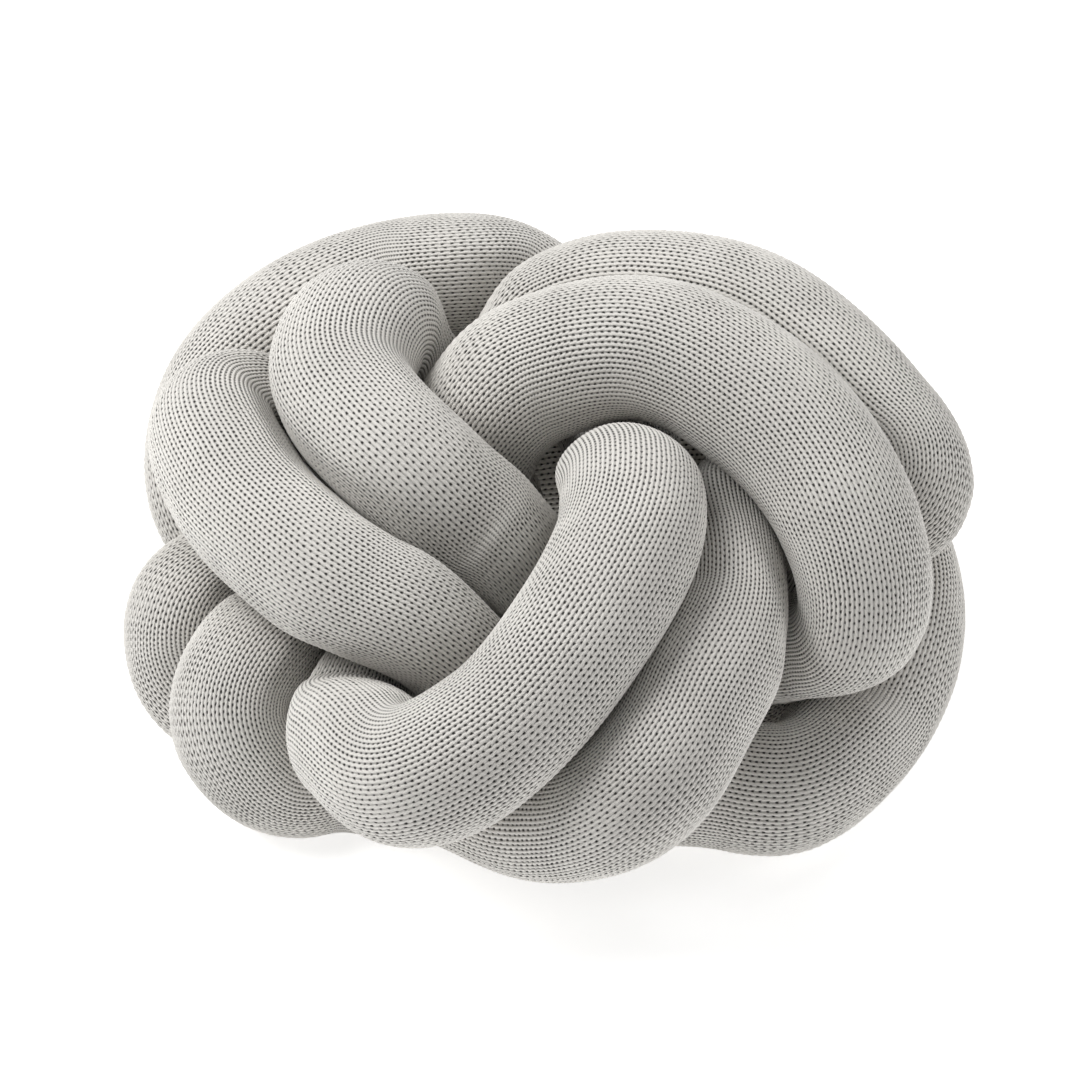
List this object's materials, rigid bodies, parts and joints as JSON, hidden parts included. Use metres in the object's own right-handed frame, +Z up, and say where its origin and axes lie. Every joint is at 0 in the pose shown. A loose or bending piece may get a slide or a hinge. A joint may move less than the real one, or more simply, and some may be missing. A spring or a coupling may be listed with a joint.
{
  "type": "knot cushion",
  "caption": "Soft knitted cushion: one long filled tube, closed on itself and wound into a flattened ball of crossing turns.",
  "frame": {"origin": "middle of the bounding box's underside, on the surface the cushion lies on", "axes": "+Z up, away from that surface; +X to the right in the picture; +Y away from the picture's camera"},
  "size_m": [0.3005, 0.2963, 0.1563],
  "materials": {
    "knit": "fine stockinette wool knit, matt"
  },
  "bodies": {
    "root": {"knotted_tube": "knit"}
  },
  "joints": []
}
